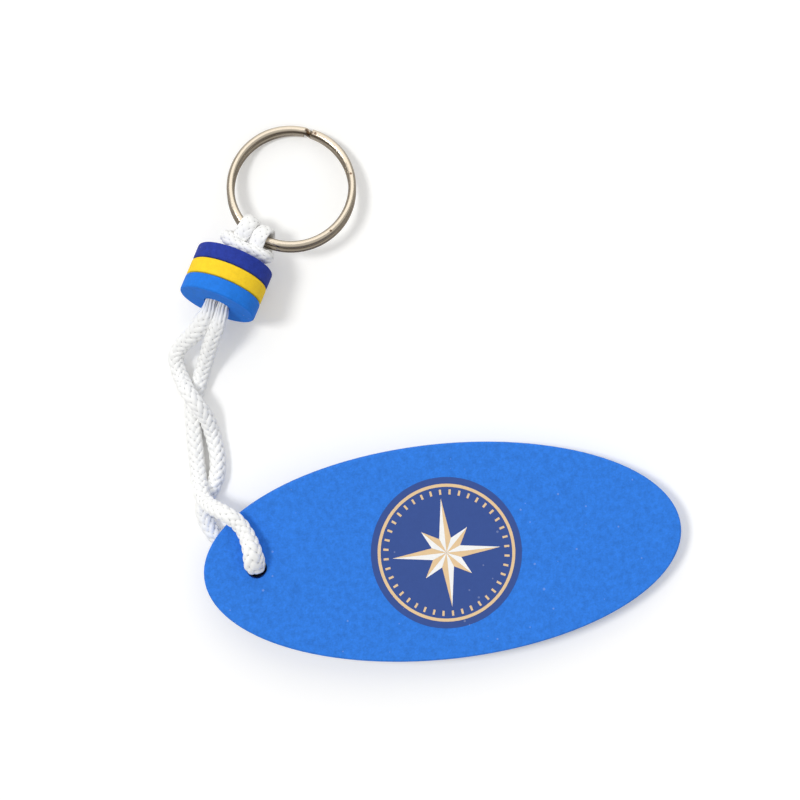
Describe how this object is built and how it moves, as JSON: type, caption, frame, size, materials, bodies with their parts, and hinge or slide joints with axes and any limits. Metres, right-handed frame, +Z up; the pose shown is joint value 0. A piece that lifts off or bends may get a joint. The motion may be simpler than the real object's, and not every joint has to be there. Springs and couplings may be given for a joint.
{
  "type": "floating keychain",
  "caption": "Oval foam float key holder with a braided cord loop, a three-colour foam bead and a split ring, lying flat.",
  "frame": {"origin": "on the table plane, under the middle of the box of the float, bead and split ring", "axes": "+Z up from the table, +Y from the float towards the split ring, +X along the float towards its plain end"},
  "size_m": [0.1, 0.1048, 0.0172],
  "materials": {
    "foam_blue": "matte closed-cell foam",
    "foam_navy": "matte closed-cell foam",
    "foam_yellow": "matte closed-cell foam",
    "foam_light_blue": "matte closed-cell foam",
    "cord_white": "braided, soft sheen",
    "nickel": "warm nickel plating, lightly worn",
    "ink_navy": "screen-printed ink",
    "ink_tan": "screen-printed ink",
    "ink_white": "screen-printed ink"
  },
  "bodies": {
    "float": {"float": "foam_blue"},
    "lanyard": {"cord": "cord_white", "cord_hitch": "cord_white"},
    "bead": {"bead_navy_layer": "foam_navy", "bead_yellow_layer": "foam_yellow", "bead_blue_layer": "foam_light_blue"},
    "ring": {"split_ring": "nickel"}
  },
  "joints": [
    {"name": "lanyard_swing", "type": "hinge", "parent": "float", "child": "lanyard", "pos_m": [-0.03409, -0.03414, 0.0061], "axis": [0.0434, 0.0047, 0.999], "range_deg": [-18, 130]},
    {"name": "bead_turn", "type": "hinge", "parent": "lanyard", "child": "bead", "pos_m": [-0.03985, 0.02124, 0.00862], "axis": [-0.3556, -0.8981, 0.2588], "continuous": true},
    {"name": "ring_turn", "type": "hinge", "parent": "lanyard", "child": "ring", "pos_m": [-0.02744, 0.03975, 0.00411], "axis": [0, 0.2339, 0.9723], "continuous": true}
  ]
}
